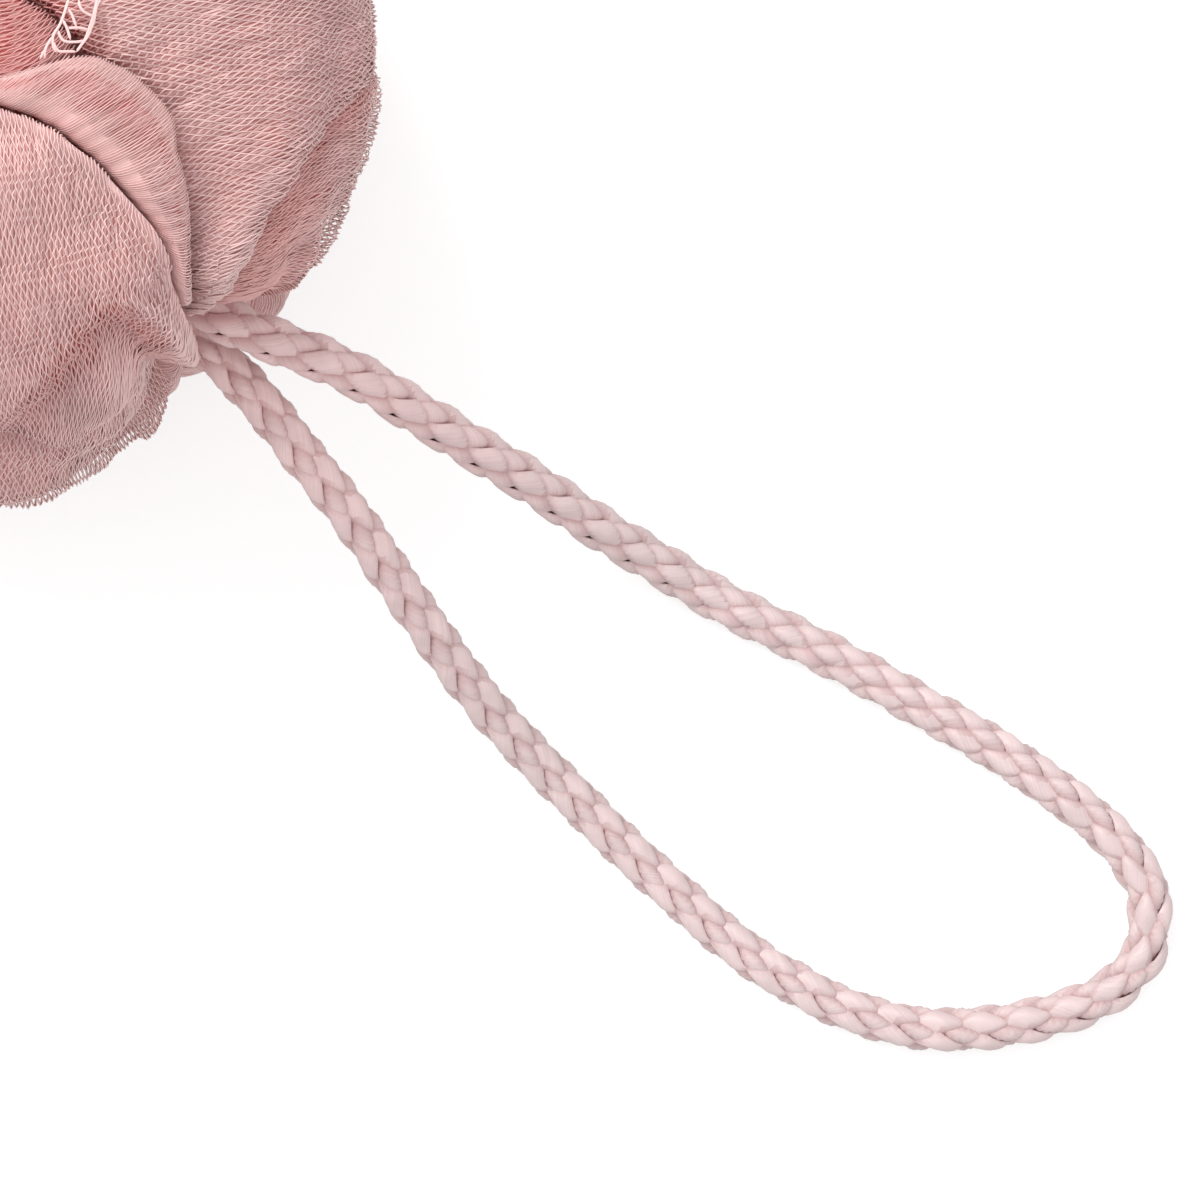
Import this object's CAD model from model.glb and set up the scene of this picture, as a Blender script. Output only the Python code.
"""Netted bath puff with a braided satin hand loop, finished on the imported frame: the cord first, then the
bights of netting from the mouth of the ball round to its back, then what holds them together inside."""

import math

import bpy
import numpy as np
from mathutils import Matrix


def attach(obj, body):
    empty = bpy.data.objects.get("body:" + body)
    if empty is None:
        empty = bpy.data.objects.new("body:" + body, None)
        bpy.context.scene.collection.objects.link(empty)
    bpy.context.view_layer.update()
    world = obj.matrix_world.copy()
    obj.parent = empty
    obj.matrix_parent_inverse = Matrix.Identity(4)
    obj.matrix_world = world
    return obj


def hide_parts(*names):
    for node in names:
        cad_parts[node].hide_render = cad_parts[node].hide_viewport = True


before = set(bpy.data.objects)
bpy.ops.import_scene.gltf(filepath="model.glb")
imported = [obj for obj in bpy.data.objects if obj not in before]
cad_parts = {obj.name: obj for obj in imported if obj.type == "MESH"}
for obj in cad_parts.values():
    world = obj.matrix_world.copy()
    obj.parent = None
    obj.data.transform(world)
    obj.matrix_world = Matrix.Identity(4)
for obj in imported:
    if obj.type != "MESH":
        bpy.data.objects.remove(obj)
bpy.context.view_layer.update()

# Camera. It looks straight down on the puff from a metre and a half above the floor. Its long lens takes in
# the whole loop and the part of the ball round the mouth.
camera = bpy.data.objects.new("camera", bpy.data.cameras.new("camera"))
camera.data.sensor_width = 36
camera.data.lens = 313.95
camera.location = (0.0909, -0.0716, 1.5)
bpy.context.scene.collection.objects.link(camera)
bpy.context.scene.camera = camera
bpy.context.scene.view_settings.view_transform = "Standard"

# Floor. A plain pale sheet under the puff, eight metres square. Seen directly it is lifted to white, and the
# puff's shadow stays on it.
FLOOR_REACH = 4
FLOOR_LIFT = 0.55


def feed(tree, node, inputs):
    """Leads another node's output into each input of a node, or sets the input to a value."""
    for socket, source in inputs.items():
        if isinstance(source, bpy.types.NodeSocket):
            tree.links.new(source, node.inputs[socket])
        else:
            node.inputs[socket].default_value = source


def add_node(tree, kind, inputs=None, **settings):
    """A new node in a tree, with its settings, then its inputs."""
    made = tree.nodes.new(kind)
    for name, value in settings.items():
        setattr(made, name, value)
    feed(tree, made, inputs or {})
    return made


floor_mesh = bpy.data.meshes.new("floor")
floor_corners = [(x * FLOOR_REACH, y * FLOOR_REACH, 0) for x, y in ((-1, -1), (1, -1), (1, 1), (-1, 1))]
floor_mesh.from_pydata(floor_corners, [], [(0, 1, 2, 3)])
floor = bpy.data.objects.new("floor", floor_mesh)
bpy.context.scene.collection.objects.link(floor)
floor_finish = bpy.data.materials.new("pale_floor")
floor_finish.use_nodes = True
paper_tree = floor_finish.node_tree
seen = add_node(paper_tree, "ShaderNodeLightPath").outputs["Is Camera Ray"]
lift = add_node(paper_tree, "ShaderNodeMath", {0: seen, 1: FLOOR_LIFT}, operation="MULTIPLY")
feed(paper_tree, paper_tree.nodes["Principled BSDF"], {
    "Base Color": (0.60, 0.60, 0.60, 1), "Roughness": 0.9, "Specular IOR Level": 0.0,
    "Emission Color": (1, 1, 1, 1), "Emission Strength": lift.outputs[0],
})
floor_mesh.materials.append(floor_finish)

# Light. An even white surround fills the folds from all sides. One broad soft lamp above the far left, turned
# to the ball, gives the shadows their direction.
world = bpy.data.worlds.new("studio")
world.use_nodes = True
feed(world.node_tree, world.node_tree.nodes["Background"], {"Color": (1, 1, 1, 1), "Strength": 0.95})
bpy.context.scene.world = world
lamp_data = bpy.data.lights.new("soft_lamp", "AREA")
lamp_data.shape = "DISK"
lamp_data.size = 0.9
lamp_data.energy = 14.0
lamp = bpy.data.objects.new("soft_lamp", lamp_data)
lamp.location = (-0.55, 0.65, 1.15)
bpy.context.scene.collection.objects.link(lamp)
aim = bpy.data.objects.new("lamp_aim", None)
aim.location = (0.03, -0.03, 0.03)
bpy.context.scene.collection.objects.link(aim)
turn = lamp.constraints.new("TRACK_TO")
turn.target = aim
turn.track_axis = "TRACK_NEGATIVE_Z"
turn.up_axis = "UP_Y"

# Hand loop. A round braid of eight flat satin strands, four wound each way, each passing over one and under
# one. It leaves the mouth of the ball, drops to the floor, turns back and goes in again beside itself.
CORD_DIAMETER = 0.006
CORD_ROUTE = [
    (0.0277, -0.0279, 0.0532), (0.0318, -0.0318, 0.0532), (0.0351, -0.0349, 0.0532),
    (0.0393, -0.0392, 0.0529), (0.0440, -0.0443, 0.0514), (0.0494, -0.0512, 0.0472),
    (0.0555, -0.0590, 0.0401), (0.0612, -0.0674, 0.0311), (0.0669, -0.0759, 0.0214),
    (0.0730, -0.0844, 0.0127), (0.0798, -0.0923, 0.0064), (0.0872, -0.0998, 0.0035),
    (0.0947, -0.1072, 0.0032), (0.1025, -0.1142, 0.0032), (0.1105, -0.1210, 0.0032),
    (0.1194, -0.1267, 0.0032), (0.1284, -0.1308, 0.0032), (0.1339, -0.1323, 0.0032),
    (0.1396, -0.1330, 0.0032), (0.1453, -0.1328, 0.0032), (0.1510, -0.1320, 0.0032),
    (0.1566, -0.1306, 0.0032), (0.1619, -0.1286, 0.0032), (0.1663, -0.1251, 0.0032),
    (0.1691, -0.1204, 0.0032), (0.1695, -0.1150, 0.0032), (0.1675, -0.1099, 0.0032),
    (0.1641, -0.1055, 0.0032), (0.1599, -0.1017, 0.0032), (0.1554, -0.0983, 0.0032),
    (0.1508, -0.0951, 0.0032), (0.1458, -0.0919, 0.0032), (0.1367, -0.0867, 0.0032),
    (0.1275, -0.0815, 0.0032), (0.1181, -0.0767, 0.0032), (0.1087, -0.0720, 0.0035),
    (0.0997, -0.0666, 0.0064), (0.0907, -0.0612, 0.0127), (0.0821, -0.0555, 0.0214),
    (0.0733, -0.0502, 0.0316), (0.0647, -0.0450, 0.0420), (0.0558, -0.0398, 0.0514),
    (0.0469, -0.0362, 0.0566), (0.0420, -0.0342, 0.0582), (0.0377, -0.0322, 0.0584),
    (0.0342, -0.0292, 0.0584), (0.0301, -0.0253, 0.0584),
]
STRANDS_EACH_WAY = 4
BRAID_PITCH = 0.0256
STRAND_WIDTH = 0.0036
STRAND_THICKNESS = 0.00110
STRAND_RADIUS = 0.00212
STRAND_WEAVE = 0.00066
STRAND_SWAP = 2.0
STRAND_CROWN = 0.0015
STRAND_TILT = 0.16
STRAND_POINTS = 16
RING_SPACING = 0.00060
CORE_YARN_RADIUS = 0.0020
CORE_YARN_SIDES = 12
# Where the broad column of leaves faces, in degrees from straight up towards the inside of the loop, at
# distances in metres along the cord: it turns slowly, as such a cord does when it is bent round.
BRAID_FACING = [
    (0.000, 39), (0.166, 40), (0.182, 18), (0.196, 11), (0.217, 20), (0.236, 28), (0.256, 37), (0.268, 44),
    (0.286, 50), (0.316, 53), (0.386, 57),
]
# How much more of the cord's face the strands of one way cover than those of the other, along it: the strands
# wound clockwise ride higher on the first arm, the others on the second.
BRAID_LEAN = [(0.000, -0.38), (0.190, -0.38), (0.260, -0.10), (0.310, 0.30), (0.386, 0.34)]


def smooth_step(value, low, high):
    """Rises from 0 at low to 1 at high, level at both ends."""
    share = np.clip((value - low) / (high - low), 0, 1)
    return share * share * (3 - 2 * share)


def read_line(points, at):
    """The smooth line through (place, value) points, read at the places given. It never overshoots a point,
    because each point's slope is the harmonic mean of its two sides' slopes, or level at a peak."""
    place, value = np.array(points, float).T
    at = np.clip(at, place[0], place[-1])
    width = np.diff(place)
    rise = np.diff(value) / width
    slope = np.concatenate([rise[:1], np.zeros(len(rise) - 1), rise[-1:]])
    climbs = rise[:-1] * rise[1:] > 0
    total = np.where(climbs, rise[:-1] + rise[1:], 1)
    slope[1:-1] = np.where(climbs, 2 * rise[:-1] * rise[1:] / total, 0)
    span = np.clip(np.searchsorted(place, at, side="right") - 1, 0, len(rise) - 1)
    share = (at - place[span]) / width[span]
    start = value[span] + share * width[span] * slope[span]
    end = value[span + 1] - (1 - share) * width[span] * slope[span + 1]
    ease = share * share * (3 - 2 * share)
    return start * (1 - ease) + end * ease


def unit(vectors):
    """Each vector divided by its own length."""
    return vectors / np.maximum(np.linalg.norm(vectors, axis=-1, keepdims=True), 1e-12)


def distance_along(line):
    """How far each point of a line lies from its start, along it."""
    return np.concatenate([[0], np.cumsum(np.linalg.norm(np.diff(line, axis=0), axis=1))])


def even_line(route, spacing):
    """Points at even steps along the smooth line through a route, each axis read against the distance."""
    route = np.array(route)
    along = distance_along(route)
    steps = np.linspace(0, along[-1], round(along[-1] / spacing) + 1)
    line = np.stack([read_line(np.stack([along, axis], axis=1), steps) for axis in route.T], axis=1)
    for _ in range(3):
        line[1:-1] = (line[:-2] + 2 * line[1:-1] + line[2:]) / 4
    return line


def square_to(line, upward):
    """Two directions square to a line at each of its points: upright, as near the upward one as can be, and
    across."""
    ahead = unit(np.gradient(line, axis=0))
    across = unit(np.cross(upward, ahead))
    return np.cross(ahead, across), across


def braid_strand(line, upright, across, turns, number, way, facing, lean, size):
    """One strand of the braid as rings of points, shape (rings, points, 3). Its middle winds round the cord's
    own line. Each point rides over or under by a cosine of four times its winding angle, raised by the lean
    and squared off, with that angle taken along the strand it crosses, so what shows of a strand between two
    others is a rhomb. Its cross-section is a squarish ellipse, bent to follow the cord's round and tilted.
    The crease is not a number on the highest part of a strand, where the swap passes 1, and renders pale."""
    wind = (number * 2 * math.pi / STRANDS_EACH_WAY + way * 2 * math.pi * turns)[:, None]
    angle = wind + facing[:, None]
    outward = np.cos(angle) * upright + np.sin(angle) * across
    middle = line + size * STRAND_RADIUS * outward
    run = unit(np.gradient(middle, axis=0))
    face = unit(outward - (outward * run).sum(1, keepdims=True) * run)
    side = np.cross(run, face)
    turn = np.linspace(0, 2 * math.pi, STRAND_POINTS, endpoint=False)
    wide = np.sign(np.cos(turn)) * np.abs(np.cos(turn)) ** 0.8 * STRAND_WIDTH / 2
    thick = np.sign(np.sin(turn)) * np.abs(np.sin(turn)) ** 0.8 * STRAND_THICKNESS / 2
    slant = math.atan(2 * math.pi * STRAND_RADIUS / BRAID_PITCH)
    crossed = wind - math.cos(2 * slant) / (2 * STRAND_RADIUS * math.cos(slant)) * wide
    swap = np.tanh(STRAND_SWAP * way * (np.cos(4 * crossed) + lean[:, None])) / math.tanh(STRAND_SWAP)
    droop = wide**2 / (2 * STRAND_CROWN)
    height = thick - droop + STRAND_WEAVE * swap + way * STRAND_TILT * wide
    ring = middle[:, None] + size * (wide[:, None] * side[:, None] + height[:, :, None] * face[:, None])
    edge = way * wide / (STRAND_WIDTH / 2)
    crease = (0.5 - 0.5 * swap) ** 1.8 + 0.35 * smooth_step(-edge, -0.2, 0.9)
    return ring, np.clip(crease + 0.3 * smooth_step(edge, 0.85, 1), 0, 1)


def build_mesh(name, parts, finishes):
    """One object from parts of (points, four-cornered faces, places on the map, shade, finish number). The
    map is the piece's own, and shade is a value from 0 to 1 at each point that the finish reads."""
    counts = np.cumsum([0] + [len(part[0]) for part in parts])
    points = np.concatenate([part[0] for part in parts])
    faces = np.concatenate([part[1] + first for part, first in zip(parts, counts)])
    places = np.concatenate([part[2] for part in parts])
    shade = np.concatenate([part[3] for part in parts])
    finish = np.concatenate([np.full(len(part[1]), part[4]) for part in parts])
    mesh = bpy.data.meshes.new(name)
    mesh.vertices.add(len(points))
    mesh.vertices.foreach_set("co", points.astype(np.float32).ravel())
    mesh.loops.add(faces.size)
    mesh.loops.foreach_set("vertex_index", faces.astype(np.int32).ravel())
    mesh.polygons.add(len(faces))
    mesh.polygons.foreach_set("loop_start", np.arange(0, faces.size, 4, dtype=np.int32))
    mesh.polygons.foreach_set("material_index", finish.astype(np.int32))
    mesh.polygons.foreach_set("use_smooth", np.ones(len(faces), bool))
    layer = mesh.uv_layers.new(name="OFBake")
    layer.uv.foreach_set("vector", places[faces.ravel()].astype(np.float32).ravel())
    mesh.attributes.new("shade", "FLOAT", "POINT").data.foreach_set("value", shade.astype(np.float32))
    mesh.update()
    for made in finishes:
        mesh.materials.append(made)
    piece = bpy.data.objects.new(name, mesh)
    bpy.context.scene.collection.objects.link(piece)
    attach(piece, "root")
    return piece


def map_places(across, up):
    """Places on a piece's map for rings of points: a share across it for each point of a ring, and a share up
    it for each ring."""
    return np.stack(np.broadcast_arrays(across[None], up[:, None]), axis=-1).reshape(-1, 2)


def round_yarn(line, outward, sideways, radius, sides):
    """A round yarn along a line, as rings of points that turn from the outward direction to the sideways one
    by a cosine and a sine, drawn to a point at both ends."""
    turn = np.linspace(0, 2 * math.pi, sides, endpoint=False)[None, :, None]
    rings = line[:, None] + radius * (np.cos(turn) * outward[:, None] + np.sin(turn) * sideways[:, None])
    rings[[0, -1]] = rings[[0, -1]].mean(axis=1, keepdims=True)
    return rings


def tube_faces(rings, size):
    """The faces that join equal closed rings of points, one ring to the next, facing out."""
    number = np.arange(rings * size).reshape(rings, size)
    after = np.roll(number, -1, axis=1)
    return np.stack([number[:-1], number[1:], after[1:], after[:-1]], axis=-1).reshape(-1, 4)


def make_dye_group():
    """The dye of every thread here, as a node group. It goes from pale to deep with the shade, and a noise of
    patches over the place makes its strength uneven, from low to high."""
    tree = bpy.data.node_groups.new("uneven_dye", "ShaderNodeTree")
    kinds = {"Pale": "Color", "Deep": "Color", "Shade": "Float", "Place": "Vector", "Patches": "Float",
             "Detail": "Float", "Low": "Float", "High": "Float"}
    for name, kind in kinds.items():
        tree.interface.new_socket(name=name, in_out="INPUT", socket_type="NodeSocket" + kind)
    tree.interface.new_socket(name="Dye", in_out="OUTPUT", socket_type="NodeSocketColor")
    given = add_node(tree, "NodeGroupInput").outputs
    cloud = add_node(tree, "ShaderNodeTexNoise", {
        "Vector": given["Place"], "Scale": given["Patches"], "Detail": given["Detail"],
    })
    strength = add_node(tree, "ShaderNodeMapRange", {
        "Value": cloud.outputs["Fac"], "From Min": 0.3, "From Max": 0.7, "To Min": given["Low"],
        "To Max": given["High"],
    })
    depth = {"Factor": given["Shade"], "A": given["Pale"], "B": given["Deep"]}
    colour = add_node(tree, "ShaderNodeMix", depth, data_type="RGBA").outputs["Result"]
    dye = add_node(tree, "ShaderNodeVectorMath", {0: colour, "Scale": strength.outputs[0]}, operation="SCALE")
    add_node(tree, "NodeGroupOutput", {"Dye": dye.outputs[0]})
    return tree


uneven_dye = make_dye_group()


def dyed_material(name, pale, deep, patches, detail, low, high):
    """A material with the dye placed in it: the material, its tree, its shader, the places on the object and
    the dye, which still has to be led to the shader."""
    made = bpy.data.materials.new(name)
    made.use_nodes = True
    tree = made.node_tree
    place = add_node(tree, "ShaderNodeTexCoord").outputs["Object"]
    shade = add_node(tree, "ShaderNodeAttribute", attribute_name="shade").outputs["Fac"]
    dye = add_node(tree, "ShaderNodeGroup", node_tree=uneven_dye)
    feed(tree, dye, {
        "Pale": (*pale, 1), "Deep": (*deep, 1), "Shade": shade, "Place": place, "Patches": patches,
        "Detail": detail, "Low": low, "High": high,
    })
    return made, tree, tree.nodes["Principled BSDF"], place, dye.outputs["Dye"]


# The cord's dye is warmest at the place where it leaves the net, within the first distance, and plain beyond
# the second one.
WARM_PLACE = (0.030, -0.030, 0.055)
WARM_REACH = (0.015, 0.090)


def satin_finish(name, pale, deep, thread_scale):
    """Woven satin: fine threads along the strand in its colour, its gloss and its relief, deeper in the
    creases where the strands dive under each other, and warmer and brighter near the net."""
    made, tree, shader, place, dye = dyed_material(name, pale, deep, 260.0, 2.0, 0.93, 1.05)
    strand_map = add_node(tree, "ShaderNodeUVMap", uv_map="OFBake").outputs[0]
    stretch = add_node(tree, "ShaderNodeMapping", {"Vector": strand_map, "Scale": (thread_scale, 9, 1)})
    threads = add_node(
        tree, "ShaderNodeTexNoise", {"Vector": stretch.outputs[0], "Scale": 1.0, "Detail": 3.0}
    ).outputs["Fac"]
    streak = add_node(tree, "ShaderNodeMapRange", {
        "Value": threads, "From Min": 0.3, "From Max": 0.7, "To Min": 0.91, "To Max": 1.07,
    })
    lit = add_node(tree, "ShaderNodeVectorMath", {0: dye, "Scale": streak.outputs[0]}, operation="SCALE")
    away = add_node(tree, "ShaderNodeVectorMath", {0: place, 1: WARM_PLACE}, operation="DISTANCE")
    warmth = add_node(tree, "ShaderNodeMapRange", {
        "Value": away.outputs["Value"], "From Min": WARM_REACH[0], "From Max": WARM_REACH[1], "To Min": 1.0,
        "To Max": 0.0,
    }).outputs[0]
    warm = add_node(
        tree, "ShaderNodeMix", {"Factor": warmth, "A": lit.outputs[0], "B": (1.0, 0.90, 0.90, 1)},
        data_type="RGBA", blend_type="MULTIPLY",
    ).outputs["Result"]
    bright = add_node(tree, "ShaderNodeMath", {0: warmth, 1: 0.14, 2: 1.0}, operation="MULTIPLY_ADD")
    dye = add_node(tree, "ShaderNodeVectorMath", {0: warm, "Scale": bright.outputs[0]}, operation="SCALE")
    rough = add_node(tree, "ShaderNodeMapRange", {"Value": threads, "To Min": 0.50, "To Max": 0.36})
    relief = add_node(tree, "ShaderNodeBump", {"Height": threads, "Strength": 0.35, "Distance": 0.00008})
    feed(tree, shader, {
        "Base Color": dye.outputs[0], "Roughness": rough.outputs[0], "Normal": relief.outputs[0],
        "Sheen Weight": 0.25, "Sheen Roughness": 0.4, "Specular IOR Level": 0.45,
    })
    return made


def braid(name, line, turns, upward, facing, lean, finish, size=1.0):
    """All strands of the braid along a line and the core yarn inside them, side by side on the piece's map,
    as one piece. The turns say how often a strand has wound round the line by each of its points."""
    upright, across = square_to(line, upward)
    core = round_yarn(line, upright, across, size * CORE_YARN_RADIUS, CORE_YARN_SIDES)
    round_share = np.abs(np.linspace(-1, 1, CORE_YARN_SIDES))
    places = map_places(0.965 + 0.03 * round_share, np.linspace(0, 1, len(line)))
    parts = [(core.reshape(-1, 3), tube_faces(len(core), CORE_YARN_SIDES), places, np.ones(len(places)), 0)]
    for way in (1, -1):
        for number in range(STRANDS_EACH_WAY):
            rings, crease = braid_strand(line, upright, across, turns, number, way, facing, lean, size)
            for end in (0, -1):
                rings[end] = rings[end].mean(axis=0)
            column = number + STRANDS_EACH_WAY * (way < 0)
            round_share = np.abs(np.linspace(-1, 1, STRAND_POINTS, endpoint=False))
            map_share = 0.96 * (column + 0.04 + 0.92 * round_share) / (2 * STRANDS_EACH_WAY)
            places = map_places(map_share, np.linspace(0.002, 0.998, len(rings)))
            faces = tube_faces(len(rings), STRAND_POINTS)
            parts.append((rings.reshape(-1, 3), faces, places, crease.ravel(), 0))
    return build_mesh(name, parts, [finish])


cord_line = even_line(CORD_ROUTE, RING_SPACING)
cord_along = distance_along(cord_line)
cord_facing = np.radians(read_line(BRAID_FACING, cord_along) - 45)
satin = satin_finish("cord_satin", (0.690, 0.545, 0.540), (0.380, 0.165, 0.165), 330)
cord_lean = read_line(BRAID_LEAN, cord_along)
cord_turns = distance_along(cord_line[:, :2]) / BRAID_PITCH
UPWARDS = np.array([0.0, 0.0, 1.0])
hand_loop = braid("hand_loop", cord_line, cord_turns, UPWARDS, cord_facing, cord_lean, satin)
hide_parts("cord_loop")


# Netting. The ball is drawn from one long tube of extruded pink net, whose threads run side by side in fine
# waves and stick together where they touch. A place in it is a radius from its middle, a colatitude from the
# mouth and an azimuth from the top, in degrees.
MIDDLE = np.array([0.0, 0.0, 0.056])
MOUTH_BEARING = math.radians(-43.3)
TOWARDS_MOUTH = np.array([math.cos(MOUTH_BEARING), math.sin(MOUTH_BEARING), 0.0])
SIDEWAYS = np.array([-math.sin(MOUTH_BEARING), math.cos(MOUTH_BEARING), 0.0])
BALL_RADIUS = 0.060
MOUTH = 8.9
FRONT_END = 125
REAR_START = 127.5
SIDE_WALL = 0.0038
INNER_WALL = [
    (8, 0.0440), (12, 0.0425), (16, 0.0415), (18, 0.0395), (20, 0.0365), (26, 0.0260), (35, 0.0195),
    (50, 0.0162), (70, 0.0136), (90, 0.0126), (110, 0.0126), (130, 0.0134), (150, 0.0158), (176, 0.0175),
]
CREST_SHARE = [
    (8, 0.745), (12, 0.800), (18, 0.885), (26, 0.955), (40, 1.0), (110, 1.0), (125, 0.985), (150, 0.970),
    (168, 0.925), (176, 0.905),
]
# Where one bight ends and the next begins: an azimuth at each colatitude. A seam stands with the first bight
# that it bounds.
SEAMS = {}
SHEET_ROWS = 221
SHEET_COLUMNS = 221
WALL_SAMPLES = 20
CREST_SAMPLES = 321
THREAD_GAP = 0.000475
WAVE_LENGTH = 0.00235
# The shares of a piece's map that the two layers of thread fill, from their first row to their last.
UNDER_BAND = (0.25, 0.49)
OUTER_BAND = (0.50, 0.96)


def in_ball(radius, colatitude, azimuth):
    """The point at a radius, colatitude and azimuth, as the frame has it. Behind the ball's waist the bights
    swirl round the axis, and the line where front and rear ones meet wanders."""
    behind = smooth_step(colatitude, 90, REAR_START)
    wander = behind * (1 - smooth_step(colatitude, REAR_START, 170))
    turn = np.radians(azimuth) + math.radians(34) * smooth_step(colatitude, 95, 180)
    tilt = np.radians(colatitude) + math.radians(7) * wander * np.sin(3 * np.radians(azimuth) + 0.6)
    across = np.sin(turn)[..., None] * SIDEWAYS + np.cos(turn)[..., None] * UPWARDS
    point = np.cos(tilt)[..., None] * TOWARDS_MOUTH + np.sin(tilt)[..., None] * across
    point = MIDDLE + point * radius[..., None]
    point[..., 2] = np.maximum(point[..., 2], 0.0002)
    return point


def by_station(value, stations):
    """A value at each station, as a column: read from a line of (colatitude, value) points, or the same all
    along."""
    values = read_line(value, stations) if isinstance(value, list) else np.full(len(stations), value)
    return values[:, None]


def bight_sheet(left_seams, right_seams, crest_radius, drop_left, drop_right, start, end, walls, relief):
    """The outer skin of one bight as a grid of points. Each row is one cross-section: up the left side wall,
    over the crest and down the right side wall, at even steps of its own length, so the threads that run
    across it crowd together where the bight is gathered. The crest falls to its sides as one minus the root
    of one minus the side share to the power 2.4, and the relief, a height at each colatitude and azimuth, is
    added to it. At a free end the rows shrink towards their middle."""
    stations = np.linspace(start, end, SHEET_ROWS)
    left = np.max([read_line(SEAMS[seam], stations) for seam in left_seams], axis=0)
    right = np.min([read_line(SEAMS[seam], stations) for seam in right_seams], axis=0)
    right = np.where(right < left, right + 360, right)
    drop_left, drop_right = by_station(drop_left, stations), by_station(drop_right, stations)
    inner = read_line(INNER_WALL, stations)[:, None]
    crest = crest_radius * read_line(CREST_SHARE, stations)[:, None]
    side = np.sin(np.linspace(-math.pi / 2, math.pi / 2, CREST_SAMPLES))[None]
    fall = np.minimum(np.where(side < 0, drop_left, drop_right), 0.6 * (crest - inner))
    over = crest - fall * (1 - np.sqrt(1 - np.abs(side) ** 2.4))
    half_turn = ((right - left) / 2)[:, None]
    flat = ((left + right) / 2)[:, None] + side * half_turn
    over = over + relief(np.broadcast_to(stations[:, None], flat.shape), flat)
    down = np.linspace(1, 0.02, WALL_SAMPLES)[None]
    left_wall = np.minimum(by_station(walls[0], stations), 0.8 * (over[:, :1] - inner)) * down
    right_wall = np.minimum(by_station(walls[1], stations), 0.8 * (over[:, -1:] - inner)) * down[:, ::-1]
    radius = np.concatenate([over[:, :1] - left_wall, over, over[:, -1:] - right_wall], axis=1)
    ends = np.ones((1, WALL_SAMPLES))
    share = np.concatenate([-ends, side, ends], axis=1)
    stand_off = np.degrees(0.0002 / (radius * np.sin(np.radians(stations))[:, None]))
    azimuth = ((left + right) / 2)[:, None] + share * (half_turn - 1.25 * stand_off)
    tip = np.minimum(1.0, (end - stations) / 9)
    if start > MOUTH:
        tip = np.minimum(tip, (stations - start) / 9)
    size = (0.25 + 0.75 * np.sqrt(1 - (1 - tip) ** 2))[:, None]
    core = inner + 0.55 * (crest - inner)
    radius = core + (radius - core) * size
    middle = azimuth.mean(axis=1, keepdims=True)
    azimuth = middle + (azimuth - middle) * size
    rows = in_ball(radius, np.broadcast_to(stations[:, None], radius.shape), azimuth)
    step = np.linalg.norm(np.diff(rows, axis=1), axis=2)
    along = np.concatenate([np.zeros((len(rows), 1)), np.cumsum(step, axis=1)], axis=1)
    wanted = np.linspace(0, 1, SHEET_COLUMNS)
    sheet = np.empty((SHEET_ROWS, SHEET_COLUMNS, 3))
    bearing = np.empty((SHEET_ROWS, SHEET_COLUMNS))
    for number, (run, row, turn) in enumerate(zip(along, rows, azimuth)):
        for axis in range(3):
            sheet[number, :, axis] = np.interp(wanted * run[-1], run, row[:, axis])
        bearing[number] = np.interp(wanted * run[-1], run, turn)
    return sheet, np.broadcast_to(stations[:, None], bearing.shape), bearing


def sheet_normals(sheet):
    """The outward direction at each point of a grid: along its rows, crossed with from row to row."""
    return unit(np.cross(np.gradient(sheet, axis=1), np.gradient(sheet, axis=0)))


def read_grid(grid, row, column):
    """A grid read at places given as shares of its rows and columns, straight between its points."""
    row = np.clip(row, 0, 1) * (grid.shape[0] - 1)
    column = np.clip(column, 0, 1) * (grid.shape[1] - 1)
    up = np.minimum(row.astype(int), grid.shape[0] - 2)
    over = np.minimum(column.astype(int), grid.shape[1] - 2)
    a, b = (row - up), (column - over)
    if grid.ndim == 3:
        a, b = a[..., None], b[..., None]
    low = grid[up, over] * (1 - b) + grid[up, over + 1] * b
    high = grid[up + 1, over] * (1 - b) + grid[up + 1, over + 1] * b
    return low * (1 - a) + high * a


def soft_noise(row, column, seed, scale):
    """A smooth wandering value of about -1 to 1: the mean of six sine waves in seeded directions."""
    draw = np.random.default_rng(seed)
    total = 0.0
    for _ in range(6):
        heading = draw.uniform(0, 2 * math.pi)
        beat = draw.uniform(0.5, 1.5) * scale
        start = draw.uniform(0, 6.3)
        total = total + np.sin(beat * (row * math.cos(heading) + column * math.sin(heading)) + start)
    return total / 3


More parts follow.
